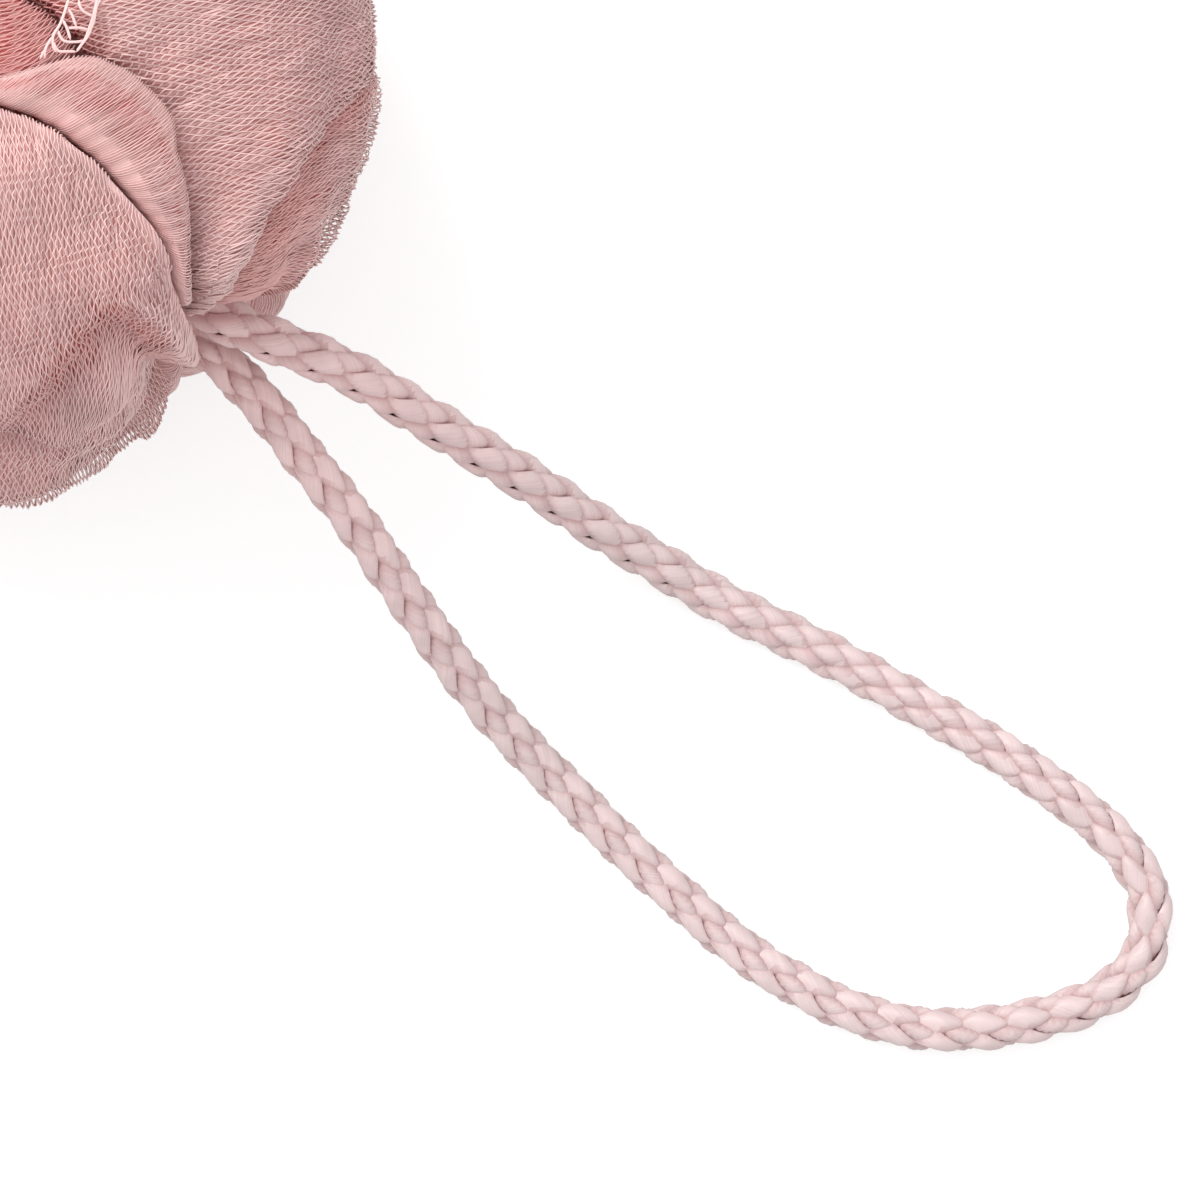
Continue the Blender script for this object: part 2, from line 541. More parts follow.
def net_threads(sheet, normals, order, crowded, gap, wave_length, sample, depth, wave, seed):
    """The threads of one layer of net, as their middles, outward directions and which samples show. The order
    is a pair of distances at each place of the sheet: one across the threads, which rises from row to row,
    and one along them. Each thread keeps to a whole number of gaps across, so the threads of two bights that
    share an order run on from one to the other. It waves against its neighbours: a sine of the distance along
    it, clipped where threads touch, that swaps sign from one thread to the next. It goes straighter where the
    net is crowded."""
    across, onward = order
    rows = np.linspace(0, 1, SHEET_ROWS)
    number = np.arange(math.ceil(across.min() / gap), math.floor(across.max() / gap))[:, None]
    share = np.linspace(0, 1, 2 * SHEET_COLUMNS - 1)
    at = share * (SHEET_COLUMNS - 1)
    left = np.minimum(at.astype(int), SHEET_COLUMNS - 2)
    line = across[:, left] * (1 - at + left) + across[:, left + 1] * (at - left)
    line = np.maximum.accumulate(line, axis=0) + 1e-9 * np.arange(SHEET_ROWS)[:, None]
    row_of = np.stack([np.interp(number[:, 0] * gap, column, rows) for column in line.T], axis=1)
    run = read_grid(onward, row_of, share[None] + 0 * row_of)
    step = wave_length / sample
    beats = np.arange(math.floor(run.min() / step), math.ceil(run.max() / step) + 1)[None]
    column = np.zeros((len(run), beats.size))
    shown = np.zeros(column.shape, bool)
    for place, (thread, thread_rows) in enumerate(zip(run, row_of)):
        within = (thread_rows > 0) & (thread_rows < 1)
        if within.sum() > 1:
            gone = np.maximum.accumulate(thread[within]) + 1e-9 * np.arange(within.sum())
            column[place] = np.interp(beats[0] * step, gone, share[within])
            shown[place] = (beats[0] * step > gone[0]) & (beats[0] * step < gone[-1])
    base, ahead = number * gap / 0.12, beats * step / 0.09
    threads = max(len(number) - 1, 1)
    first = (number - number[0]) / threads
    still = 1 - 0.8 * read_grid(crowded, read_grid(row_of, first + 0 * column, column), column)
    loose = (1 + 0.35 * soft_noise(base, ahead, seed, 40)) * still
    beat = np.clip(1.35 * np.sin(2 * math.pi * beats / sample + math.pi * number), -1, 1)
    wander = min(wave, 1.0) * soft_noise(base, ahead, seed + 1, 60)
    moved = first + (wave / 2 * beat * loose + 0.5 * wander) / threads
    row = read_grid(row_of, moved, column)
    column = column + 0.0012 * soft_noise(base, ahead, seed + 2, 90)
    shown &= (moved > 0) & (moved < 1) & (row > 0.003) & (row < 0.997)
    middle = read_grid(sheet, row, column)
    outward = unit(read_grid(normals, row, column))
    lift = 0.00020 * min(wave, 1.0) * soft_noise(base * 3, ahead, seed + 3, 70) - depth
    lift = lift + 0.00007 * np.random.default_rng(seed).standard_normal((len(number), 1)) * still
    middle = middle + lift[..., None] * outward
    middle[..., 2] = np.maximum(middle[..., 2], 0.00015)
    return middle, outward, shown, row, column


def thread_prisms(middle, outward, shown, thickness):
    """Three-sided threads along their middles, one edge outwards, tapered to a point where they end."""
    run = unit(np.gradient(middle, axis=1))
    side = unit(np.cross(run, outward))
    face = np.cross(side, run)
    full = shown.copy()
    full[:, 1:] &= shown[:, :-1]
    full[:, :-1] &= shown[:, 1:]
    full[:, [0, -1]] = False
    size = np.where(full, thickness / 2, 0.0)[..., None]
    rings = np.stack([middle + size * face, middle + size * (-0.5 * face - 0.87 * side),
                      middle + size * (-0.5 * face + 0.87 * side)], axis=2)
    threads, samples = middle.shape[:2]
    number = np.arange(threads * samples * 3).reshape(threads, samples, 3)
    after = np.roll(number, -1, axis=2)
    faces = np.stack([number[:, :-1], number[:, 1:], after[:, 1:], after[:, :-1]], axis=-1)
    keep = shown[:, :-1] & shown[:, 1:]
    return rings, faces[keep].reshape(-1, 4)


def thread_ribbons(middle, outward, shown, thickness):
    """Flat threads, facing out, for a layer that shows only through the one above it."""
    side = unit(np.cross(np.gradient(middle, axis=1), outward)) * thickness / 2
    rings = np.stack([middle - side, middle + side], axis=2)
    threads, samples = middle.shape[:2]
    number = np.arange(threads * samples * 2).reshape(threads, samples, 2)
    faces = np.stack([number[:, :-1, 0], number[:, :-1, 1], number[:, 1:, 1], number[:, 1:, 0]], axis=-1)
    return rings, faces[shown[:, :-1] & shown[:, 1:]].reshape(-1, 4)


def band_places(row, column, band, corners):
    """Places on the piece's map for a layer: its columns run the width of the map, its rows fill one band."""
    low, high = band
    along = low + (high - low) * np.clip(row, 0, 1)
    places = np.stack([0.005 + 0.99 * np.clip(column, 0, 1), along], axis=-1)
    spread = np.linspace(-1, 1, corners)[:, None] * np.array([0.0, 0.0009])
    return (places[:, :, None] + spread).reshape(-1, 2)


def packed_layers(sheet, normals, crowded, depth, dark, clear):
    """The inner layers of the bight, pressed together, as a closed body: the outer skin, moved in by a depth
    that closes where the net is crowded and by what keeps them clear of it, joined to a copy of itself that
    lies further in."""
    grid, facing, close, dark = sheet[::3, ::3], normals[::3, ::3], crowded[::3, ::3], dark[::3, ::3]
    facing = unit(facing + unit(grid - MIDDLE))
    sunk = (depth * (1 - close) + 0.00010 * close)[..., None]
    top = grid - sunk * facing - clear[::3, ::3, None] * unit(grid - MIDDLE)
    low = top + 0.35 * (grid.mean(axis=1, keepdims=True) - top)
    top[..., 2] = np.maximum(top[..., 2], 0.0012)
    low[..., 2] = np.maximum(low[..., 2], 0.0016)
    rings = np.concatenate([top, low[:, ::-1]], axis=1)
    rings[[0, -1]] = rings[[0, -1]].mean(axis=1, keepdims=True)
    share = np.linspace(0, 1, top.shape[1])
    across = np.concatenate([0.005 + 0.64 * share, 0.66 + 0.33 * share])
    places = map_places(across, 0.005 + 0.235 * np.linspace(0, 1, len(rings)))
    shade = np.concatenate([np.clip(0.42 * (1 - close) + dark, 0, 1), np.ones_like(close)], axis=1)
    return rings.reshape(-1, 3), tube_faces(*rings.shape[:2])[:, ::-1], places, shade.ravel()


def netting_finish(name, pale, deep, roughness):
    """Extruded net thread, slightly glossy, its pink deepening where the shade value says light is lost."""
    made, tree, shader, _, dye = dyed_material(name, pale, deep, 140.0, 3.0, 0.92, 1.06)
    feed(tree, shader, {"Base Color": dye, "Roughness": roughness, "Specular IOR Level": 0.22})
    return made


net_thread = netting_finish("net_thread", (0.870, 0.618, 0.600), (0.780, 0.380, 0.360), 0.50)
net_packed = netting_finish("net_packed", (0.860, 0.580, 0.560), (0.760, 0.230, 0.210), 0.60)


def level(colatitude, azimuth):
    """No relief."""
    return np.zeros(np.broadcast(colatitude, azimuth).shape)


def slanted_order(near, far=None):
    """Threads that cross the bight from side to side, slanted by a share of its length that may change from
    its near end to its far one."""
    def order(sheet, stations, columns):
        length = BALL_RADIUS * np.radians(stations - stations.min())
        share = length / length.max()
        slant = near if far is None else near + (far - near) * share
        width = np.linalg.norm(np.diff(sheet, axis=1), axis=2).sum(1).max()
        return length - slant * (columns - 0.5) * length.max(), width * columns
    return order


def bight(name, node, shape, order, wave=1.0, sample=4, walls=(SIDE_WALL, SIDE_WALL), seed=1, gap=THREAD_GAP,
          wave_length=WAVE_LENGTH, form=level, edge=level, crowding=level, deep=level, clear=level,
          thread=0.00024, depth=0.0012, under=slanted_order(0.0), extra=()):
    """One bight of netting: an outer net of thread prisms, a second net just under it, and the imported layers
    below as one deeper body. The form bends all layers, the edge only the outer net. The crowding says where
    the net is so dense that it shows as a smooth sheet, deep where it lies in shade, and clear how far the
    packed layers keep further in."""
    def folds(colatitude, azimuth):
        ripple = 0.0005 * soft_noise(colatitude / 60, azimuth / 60, seed + 7, 16)
        return form(colatitude, azimuth) + ripple

    def edged(colatitude, azimuth):
        return folds(colatitude, azimuth) + edge(colatitude, azimuth)

    parts = list(extra)
    plain = bight_sheet(*shape, walls, level)[0]
    sheet, stations, bearing = bight_sheet(*shape, walls, edged)
    normals = sheet_normals(sheet)
    crowded = np.clip(crowding(stations, bearing), 0, 1)
    columns = np.broadcast_to(np.linspace(0, 1, SHEET_COLUMNS), bearing.shape)
    left_wall, right_wall = (by_station(wall, stations[:, 0]) for wall in walls)
    deepest = np.where(columns < 0.5, left_wall, right_wall)
    sunk = 0.7 * smooth_step(np.abs(2 * columns - 1), 0.88, 0.99) * np.minimum(deepest / SIDE_WALL, 1)
    sunk = sunk + 0.6 * deep(stations, bearing)
    middle, outward, shown, row, column = net_threads(
        sheet, normals, order(plain, stations, columns), crowded, gap, wave_length, sample, 0.0, wave, seed
    )
    rings, faces = thread_prisms(middle, outward, shown, thread)
    places = band_places(row, column, OUTER_BAND, 3)
    dark = read_grid(sunk, row, column)
    parts.append((rings.reshape(-1, 3), faces, places, np.repeat(dark.ravel(), 3), 0))
    sheet, stations, bearing = bight_sheet(*shape, walls, folds)
    normals = sheet_normals(sheet)
    crowded = np.clip(crowding(stations, bearing), 0, 1)
    middle, outward, shown, row, column = net_threads(
        sheet, normals, under(plain, stations, columns), crowded, gap * 1.05, wave_length, 2, 0.0005, wave,
        seed + 20
    )
    rings, faces = thread_ribbons(middle, outward, shown, thread * 1.15)
    places = band_places(row, column, UNDER_BAND, 2)
    dark = np.clip(0.2 + read_grid(sunk, row, column), 0, 1)
    parts.append((rings.reshape(-1, 3), faces, places, np.repeat(dark.ravel(), 2), 0))
    mottle = soft_noise(stations / 60, bearing / 60, seed + 9, 14)
    dark = deep(stations, bearing) + 0.12 * (1 - crowded) * mottle
    parts.append((*packed_layers(sheet, normals, crowded, depth, dark, clear(stations, bearing)), 1))
    piece = build_mesh(name, parts, [net_thread, net_packed])
    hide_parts(node)


# Ridge. A broad bight on the left above the mouth. Its right edge leans over the ruffle, and near the mouth
# it folds over a hollow in an arched lip.
SEAMS["low_left"] = [
    (8, -25), (20, -25), (27.5, -29), (32, -39), (37, -44), (45, -47), (60, -49), (90, -50), (125, -55),
]
SEAMS["ridge"] = [
    (8, -6), (20, -5), (26, -3), (33, 0), (40.5, 3.6), (47, 6.9), (53, 7.6), (60, 7.7), (67, 7),
    (73, 5.5), (78, 3), (84, 0.5), (92, -2), (100, -4.5), (110, -7), (125, -11),
]
RIDGE_DROP = [(8, 0.0060), (20, 0.0050), (28, 0.0030), (36, 0.0012), (125, 0.0012)]
# The arched lip: the azimuth of its edge, and how far the net drops inside it.
LIP = [
    (8, -16), (23, -13.3), (29.3, -10.2), (34.4, -7.7), (38, -6.2), (42, -5.7), (44.6, -5.9), (47, -6.8),
    (49, -9.5), (125, -9.5),
]
LIP_DROP = [(8, 0.0044), (30, 0.0044), (38, 0.0038), (44, 0.0024), (48, 0.0003), (50, 0), (125, 0)]
# What the gathering of the net, at the mouth and behind the ball's waist, adds to a thread's distance across.
GATHER = [
    (8, 0.0), (26, 0.0236), (35, 0.0315), (45, 0.0345), (105, 0.0345), (112, 0.0375), (125, 0.0600),
    (180, 0.20),
]


def bearing_order(bearing, bend=0.0, pivot=0.0):
    """Threads that lie along one bearing in plan, in degrees from +X towards +Y, or along a parabola that
    bends to the left of it. The distance across them is the distance square to it, plus what the gathering
    adds, and towards the far end half as much again as the depth below the highest place of the column. The
    distance along them is the arc from the top of the ball, with the depth below the crest of the row added
    on the right half and taken off on the left, so that it goes on growing down the side walls."""
    turn = math.radians(bearing)

    def order(sheet, stations, columns):
        square = sheet[..., 1] * math.cos(turn) - sheet[..., 0] * math.sin(turn)
        run = sheet[..., 0] * math.cos(turn) + sheet[..., 1] * math.sin(turn)
        across = square - bend * (run - pivot) ** 2 + read_line(GATHER, stations)
        radius = np.linalg.norm(sheet - MIDDLE, axis=-1)
        below = radius.max(axis=1, keepdims=True) - radius
        under = radius.max(axis=0, keepdims=True) - radius
        across = across + smooth_step(stations, 96, 112) * under * 1.5
        onward = BALL_RADIUS * np.arctan2(run, sheet[..., 2] - MIDDLE[2]) + below * np.sign(columns - 0.5)
        return across, onward
    return order


def near_mouth(colatitude, azimuth):
    """Crowding where every bight is drawn together at the mouth."""
    return 0.9 * (1 - smooth_step(colatitude, 14, 24)) + 0 * azimuth


def left_of(line, colatitude, azimuth):
    """How far a place lies to the left of a line of azimuths, in metres at the ball's surface."""
    return np.radians(read_line(line, colatitude) - azimuth) * BALL_RADIUS * np.sin(np.radians(colatitude))


def inside_lip(colatitude, azimuth):
    """How far a place lies inside the lip, in metres at the ball's surface."""
    return np.minimum(left_of(LIP, colatitude, azimuth), BALL_RADIUS * np.radians(48.5 - colatitude))


def ridge_form(colatitude, azimuth):
    """The drop under the lip, from which the net swells out again, and the lip's own slight roll."""
    inside = inside_lip(colatitude, azimuth)
    drop = smooth_step(inside, -0.0010, 0.0042) * (1 - smooth_step(inside, 0.0046, 0.0130))
    roll = 0.0008 * np.exp(-(((inside + 0.0012) / 0.0012) ** 2)) * (1 - smooth_step(colatitude, 44, 50))
    return roll - read_line(LIP_DROP, colatitude) * drop


def ridge_clear(colatitude, azimuth):
    """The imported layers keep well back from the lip."""
    inside = inside_lip(colatitude, azimuth)
    back = smooth_step(inside, -0.0035, 0.0005) * (1 - smooth_step(inside, 0.0090, 0.0150))
    return 0.0034 * back * (1 - smooth_step(colatitude, 44, 50))


def ridge_crowding(colatitude, azimuth):
    """Crowding at the mouth, along the crisp edge that leans over the ruffle, and inside the lip."""
    rail = 0.9 * (1 - smooth_step(left_of(SEAMS["ridge"], colatitude, azimuth), 0.0012, 0.0026))
    hollow = 0.6 * smooth_step(inside_lip(colatitude, azimuth), 0.0030, 0.0060)
    return np.maximum(np.maximum(near_mouth(colatitude, azimuth), rail), hollow)


def ridge_deep(colatitude, azimuth):
    """The netting is reddest just under the lip, where the light is least."""
    inside = inside_lip(colatitude, azimuth)
    return 0.55 * smooth_step(inside, -0.0002, 0.0010) * (1 - smooth_step(inside, 0.0030, 0.0110))


bight(
    "net_ridge", "fold_ridge", (["low_left"], ["ridge"], 0.0605, RIDGE_DROP, 0.0020, MOUTH, FRONT_END),
    bearing_order(96), under=bearing_order(91), seed=11, gap=0.00041, wave_length=0.0027, form=ridge_form,
    crowding=ridge_crowding, deep=ridge_deep, clear=ridge_clear,
)

# Ruffle. A narrow bight, drawn tight, leans against the right side of the ridge. Its threads are finer and
# straighter, and its own crest is a smooth rail.
SEAMS["ruffle_crest"] = [
    (8, -14), (20, -9), (26, 1.5), (38, 6), (42, 9.7), (49.5, 15.6), (56, 19), (60.5, 21.7), (65, 21.1),
    (71.4, 18.8), (74.5, 16.4), (76.6, 12.9), (80.7, 6), (84, 2.5), (90, -8), (125, -20),
]


def ruffle_share(colatitude, azimuth):
    """Where a place lies between the ridge, 0, and the ruffle's own crest, 1."""
    ridge = read_line(SEAMS["ridge"], colatitude)
    crest = read_line(SEAMS["ruffle_crest"], colatitude)
    return (azimuth - ridge) / np.maximum(crest - ridge, 1)


def ruffle_crowding(colatitude, azimuth):
    """The smooth valley beside the ridge, and the smooth rail along the ruffle's own crest."""
    share = ruffle_share(colatitude, azimuth)
    return np.maximum(1 - smooth_step(share, 0.22, 0.40), 0.9 * smooth_step(share, 0.76, 0.90))


def ruffle_form(colatitude, azimuth):
    """Its tip falls away towards the mouth."""
    return -0.0035 * (1 - smooth_step(colatitude, 30, 42)) + 0 * azimuth


def ruffle_deep(colatitude, azimuth):
    """The valley lies in shade, and the net stands off what is below it on the open slope."""
    share = ruffle_share(colatitude, azimuth)
    slope = smooth_step(share, 0.35, 0.48) * (1 - smooth_step(share, 0.70, 0.80))
    return 0.18 * (1 - smooth_step(share, 0.15, 0.40)) + 0.60 * slope * smooth_step(colatitude, 56, 66)


bight(
    "net_ruffle", "fold_ruffle", (["ridge"], ["ruffle_crest"], 0.0598, 0.0030, 0.0020, 26, 84),
    slanted_order(-0.16, -0.03), under=slanted_order(-0.13, -0.03), wave=0.35, seed=31, gap=0.00038,
    wave_length=0.0030, thread=0.00019, form=ruffle_form, crowding=ruffle_crowding, deep=ruffle_deep,
    depth=0.0018,
)

# Tucked end. The tube's end is pushed down between the ridge and the bight on the right, where it hangs slack
# in a valley. Over the valley it is drawn thin, into a strip of loose cords.
SEAMS["end_edge"] = [
    (8, -20), (50, -10), (66, 14), (72, 19.2), (78, 20), (85, 19), (92, 15), (100, 8), (110, 0),
    (118, -6), (125, -16),
]
VALLEY_MIDDLE = (84, 9)
VALLEY_REACH = 9
VALLEY_DEPTH = 0.0035
# The strip's cords, each through colatitudes and azimuths at one radius.
STRIP_RADIUS = 0.0570
STRIP_CORD = 0.00042
STRIP_SIDES = 6
STRIP = [
    [(80.9, 20.8), (80.2, 19.4), (79.6, 18.1), (79.1, 16.7), (78.9, 15.4), (78.1, 14.6), (76.9, 14.2)],
    [(77.8, 24.3), (77.5, 22.9), (76.6, 21.7), (76.0, 20.3), (75.5, 19.2), (75.4, 18.2), (75.1, 16.3)],
    [(78.2, 23.9), (77.2, 22.2), (76.6, 21.1), (76.0, 19.7), (75.5, 18.7), (75.4, 17.5)],
    [(79.6, 18.1), (78.3, 17.7), (76.8, 16.9)],
    [(80.1, 19.7), (79.1, 19.6), (78.2, 19.1), (77.4, 18.8)],
    [(79.9, 21.8), (79.2, 21.2), (78.2, 21.1), (76.7, 21.8)],
    [(78.2, 17.7), (77.4, 18.8), (75.9, 19.9)],
    [(79.0, 16.6), (78.1, 16.1), (77.1, 16.2), (76.0, 17.4), (75.4, 18.4)],
    [(78.4, 15.0), (77.5, 14.6), (76.9, 14.4), (76.1, 15.4), (75.1, 16.4)],
    [(78.9, 15.4), (78.6, 14.2), (78.3, 13.2), (77.5, 12.4)],
    [(78.4, 13.5), (78.1, 12.3), (77.9, 11.8)],
]


def valley_form(colatitude, azimuth):
    """A round hollow, lowest in its middle, whose reach is in degrees of arc."""
    turn = np.radians(azimuth - VALLEY_MIDDLE[1]) * np.sin(np.radians(colatitude))
    off = np.hypot(np.radians(colatitude - VALLEY_MIDDLE[0]), turn) / math.radians(VALLEY_REACH)
    return -VALLEY_DEPTH * np.exp(-(off**2))


def valley_deep(colatitude, azimuth):
    """No light reaches the bottom of the valley."""
    return np.ones(np.broadcast(colatitude, azimuth).shape)


def loose_cord(line, thickness, low, high):
    """A round cord through the points of a line, closed at its ends, with its place on the piece's map."""
    line = even_line(line, 0.0004)
    upright, across = square_to(line, UPWARDS)
    rings = round_yarn(line, upright, -across, thickness / 2, STRIP_SIDES)
    around = low + (high - low) * np.array([0.1, 0.4, 0.7, 0.9, 0.6, 0.3])
    places = map_places(around, np.linspace(0.01, 0.99, len(line)))[:, ::-1]
    return rings.reshape(-1, 3), tube_faces(len(line), STRIP_SIDES)[:, ::-1], places, np.zeros(len(places)), 0


strip_cords = []
for number, strip_route in enumerate(STRIP):
    colatitude, azimuth = np.array(strip_route, float).T
    strip_line = in_ball(np.full(len(strip_route), STRIP_RADIUS), colatitude, azimuth)
    low = 0.964 + 0.0030 * number
    strip_cords.append(loose_cord(strip_line, STRIP_CORD, low, low + 0.0026))
bight(
    "net_tucked_end", "fold_tucked_end", (["ridge"], ["end_edge"], 0.0520, 0.0, 0.0010, 68, 110),
    bearing_order(-4, 60, 0.008), under=bearing_order(-10, 60, 0.008), seed=51, gap=0.00060, wave=0.5,
    thread=0.00026, form=valley_form, deep=valley_deep, walls=(0.003, 0.003), extra=strip_cords,
)

# Right bight and the one under it. Two bights of like netting fill the right side, and their threads run on
# from one to the other. The upper is pinched along the tuck, where the lower comes out from under it.
SEAMS["right_tuck"] = [
    (8, 6), (20, 10), (31, 17), (38, 25), (41, 38), (44, 66), (46, 90), (50, 101), (54, 104), (60, 106),
    (80, 114), (125, 114),
]
SEAMS["under_tuck"] = [
    (8, 6), (20, 10), (31, 17), (38, 24), (41, 31), (44, 54), (46, 78), (50, 94), (54, 98), (60, 100),
    (80, 108), (125, 108),
]
SEAMS["right_under"] = [(8, 50), (20, 60), (40, 96), (60, 120), (90, 130), (125, 128)]
TUCK_DROP = [
    (8, 0.0032), (30, 0.0028), (40, 0.0012), (45, 0.0001), (50, 0.0001), (56, 0.003), (125, 0.0075),
]
TUCK_DROP_UNDER = [
    (8, 0.0074), (28, 0.0074), (36, 0.0052), (41, 0.003), (46, 0.001), (50, 0.001), (56, 0.002),
    (125, 0.004),
]
TUCK_WALL = [
    (8, 0.005), (34, 0.005), (40, 0.0022), (45, 0.0003), (48, 0.0001), (54, 0.0001), (62, SIDE_WALL),
    (125, SIDE_WALL),
]


def along_rim(line, heights, width, waver=0.0):
    """A relief along an azimuth line, a hump or a dip: its height at each colatitude, fading to the sides
    over a width in metres at the ball's surface. Narrow, it is the thin edge to which a bight is pinched."""
    def relief(colatitude, azimuth):
        off = left_of(line, colatitude, azimuth)
        beat = 1 + waver * (np.sin(colatitude * 0.23 + 1.0) + 0.5 * np.sin(colatitude * 0.61))
        return read_line(heights, colatitude) * beat * np.exp(-((off / width) ** 2))
    return relief


RIGHT_RIM = [(8, 44), (20, 55), (26, 65), (30, 73), (38, 86), (50, 90), (125, 92)]
right_side = along_rim(
    RIGHT_RIM, [(8, 0), (41, 0), (46, -0.0026), (60, -0.0026), (100, -0.0020), (125, -0.0010)], 0.0100
)
right_edge = along_rim(RIGHT_RIM, [(8, 0), (41, 0), (44, 0.0022), (110, 0.0020), (125, 0)], 0.0009, 0.05)
right_under_side = along_rim(RIGHT_RIM, [
    (8, 0.0010), (14, 0.0030), (20, 0.0040), (26, 0.0030), (30, 0.0025), (38, 0.0007), (43, 0), (125, 0),
], 0.0060)
right_under_edge = along_rim(
    RIGHT_RIM, [(8, 0.0015), (14, 0.0028), (42, 0.0028), (47, 0.0015), (50, 0), (125, 0)], 0.0009, 0.05
)


def right_form(colatitude, azimuth):
    """It thins out towards its tip, above the cords, and is drawn in beside its outer edge."""
    tip = [(8, 0.0005), (14, 0.0014), (18, 0.0039), (22, 0.0049), (26, 0.0053), (30, 0.0041), (35, 0.0018),
           (39, 0), (125, 0)]
    thinning = read_line(tip, colatitude) * (1 - 0.5 * smooth_step(azimuth, 2, 14))
    return right_side(colatitude, azimuth) - thinning


def right_under_form(colatitude, azimuth):
    """It swells towards its outer edge near the mouth, and runs level with the bight above past the tuck."""
    return right_side(colatitude, azimuth) + right_under_side(colatitude, azimuth)


def right_deep(colatitude, azimuth):
    """The wall that drops into the valley beside the ruffle."""
    edge = -left_of(SEAMS["end_edge"], colatitude, azimuth)
    return 0.6 * (1 - smooth_step(edge, 0.0, 0.004)) * smooth_step(colatitude, 66, 72)


def right_under_deep(colatitude, azimuth):
    """Reddest beside the tuck, under the fold above."""
    beside = -left_of(SEAMS["right_tuck"], colatitude, azimuth)
    return (1 - smooth_step(beside, 0.006, 0.026)) * (1 - smooth_step(colatitude, 42, 56))


bight(
    "net_right", "fold_right",
    (["ridge", "ruffle_crest", "end_edge"], ["right_tuck"], 0.0615, 0.0090, TUCK_DROP, MOUTH, FRONT_END),
    bearing_order(-3, 4.7), under=bearing_order(0, 4.7), seed=71, gap=0.00045, wave_length=0.0030,
    form=right_form, edge=right_edge, crowding=near_mouth, deep=right_deep, walls=(SIDE_WALL, TUCK_WALL),
)
bight(
    "net_right_under", "fold_right_under",
    (["under_tuck"], ["right_under"], 0.0612, TUCK_DROP_UNDER, 0.0100, MOUTH, FRONT_END),
    bearing_order(-3, 4.7), under=bearing_order(0, 4.7), seed=71, gap=0.00045, wave_length=0.0030,
    form=right_under_form, edge=right_under_edge, crowding=near_mouth, deep=right_under_deep,
    walls=(TUCK_WALL, SIDE_WALL),
)

# Base. The bight in the middle carries the ball on the floor, pressed flat by its weight. One more lies on
# each side of it. They are out of sight from above, so their net has fewer and thicker threads.
SEAMS["base_right"] = [(8, 125), (30, 140), (60, 154), (90, 158), (125, 158)]
SEAMS["base_left"] = [(8, 190), (30, 196), (60, 203), (90, 205), (125, 206)]
SEAMS["left_under"] = [(8, 215), (20, 220), (34, 236), (50, 246), (90, 250), (125, 252)]
COARSE_NET = {"sample": 2, "gap": 0.00062, "thread": 0.00028}
base_right_form = along_rim(
    [(8, 100), (125, 100)], [(8, -0.0020), (60, -0.0025), (90, -0.0010), (125, 0)], 0.014
)
bight(
    "net_base_right", "fold_base_right",
    (["right_under"], ["base_right"], 0.0600, 0.0080, 0.0070, MOUTH, FRONT_END),
    slanted_order(-0.1), seed=111, form=base_right_form, crowding=near_mouth, **COARSE_NET,
)
bight(
    "net_base", "fold_base", (["base_right"], ["base_left"], 0.0630, 0.0060, 0.0060, MOUTH, FRONT_END),
    slanted_order(0.1), seed=131, crowding=near_mouth, **COARSE_NET,
)
bight(
    "net_base_left", "fold_base_left",
    (["base_left"], ["left_under"], 0.0600, 0.0070, 0.0080, MOUTH, FRONT_END),
    slanted_order(0.15), seed=151, crowding=near_mouth, **COARSE_NET,
)

# Left bight. It bulges from under the ridge on the left, down to the base. Near its middle it is pinched to a
# thin edge that stands up from it.
LEFT_RIM = [(8, 262), (20, 266), (30, 269), (125, 270)]
left_form = along_rim(LEFT_RIM, [
    (8, 0.0027), (14.5, 0.0021), (19, -0.0007), (24.5, -0.0028), (32, -0.0024), (60, -0.0024), (125, -0.0015),
], 0.008)
left_edge = along_rim(LEFT_RIM, [
    (8, 0.0030), (12, 0.0042), (25, 0.0042), (32, 0.0026), (60, 0.0022), (110, 0.0022), (125, 0),
], 0.0011, 0.08)


def left_crowding(colatitude, azimuth):
    """Crowding at the mouth, but not where the bight bulges out."""
    return near_mouth(colatitude, azimuth) * smooth_step(azimuth, 275, 300)


bight(
    "net_left_under", "fold_left_under",
    (["left_under"], ["low_left"], 0.0600, 0.0100, 0.0085, MOUTH, FRONT_END),
    bearing_order(94), under=bearing_order(84), seed=171, gap=0.00058, wave_length=0.0029, form=left_form,
    edge=left_edge, crowding=left_crowding,
)

# Rear. Five like bights close the back of the ball, each from one seam to the next round its axis, and are
# gathered at the far end. A row of the table gives a bight's place, its two seams, how far its crest drops to
# each side, the slant of its threads and its seed.
SEAMS["rear_1"] = [(125, 18), (150, 24), (176, 30)]
SEAMS["rear_2"] = [(125, 95), (150, 88), (176, 98)]
SEAMS["rear_3"] = [(125, 160), (150, 170), (176, 172)]
SEAMS["rear_4"] = [(125, 238), (150, 232), (176, 246)]
SEAMS["rear_5"] = [(125, 300), (150, 310), (176, 318)]
REAR_END = 176
REAR_BIGHTS = [
    ("top", "rear_5", "rear_1", 0.0090, 0.0090, 0.15, 191),
    ("right", "rear_1", "rear_2", 0.0080, 0.0090, -0.2, 211),
    ("low_right", "rear_2", "rear_3", 0.0080, 0.0070, 0.1, 231),
    ("low_left", "rear_3", "rear_4", 0.0070, 0.0080, -0.1, 251),
    ("left", "rear_4", "rear_5", 0.0090, 0.0080, 0.2, 271),
]
for place, left, right, drop_left, drop_right, slant, seed in REAR_BIGHTS:
    bight(
        "net_rear_" + place, "fold_rear_" + place,
        ([left], [right], 0.0628, drop_left, drop_right, REAR_START, REAR_END),
        slanted_order(slant), seed=seed, **COARSE_NET,
    )

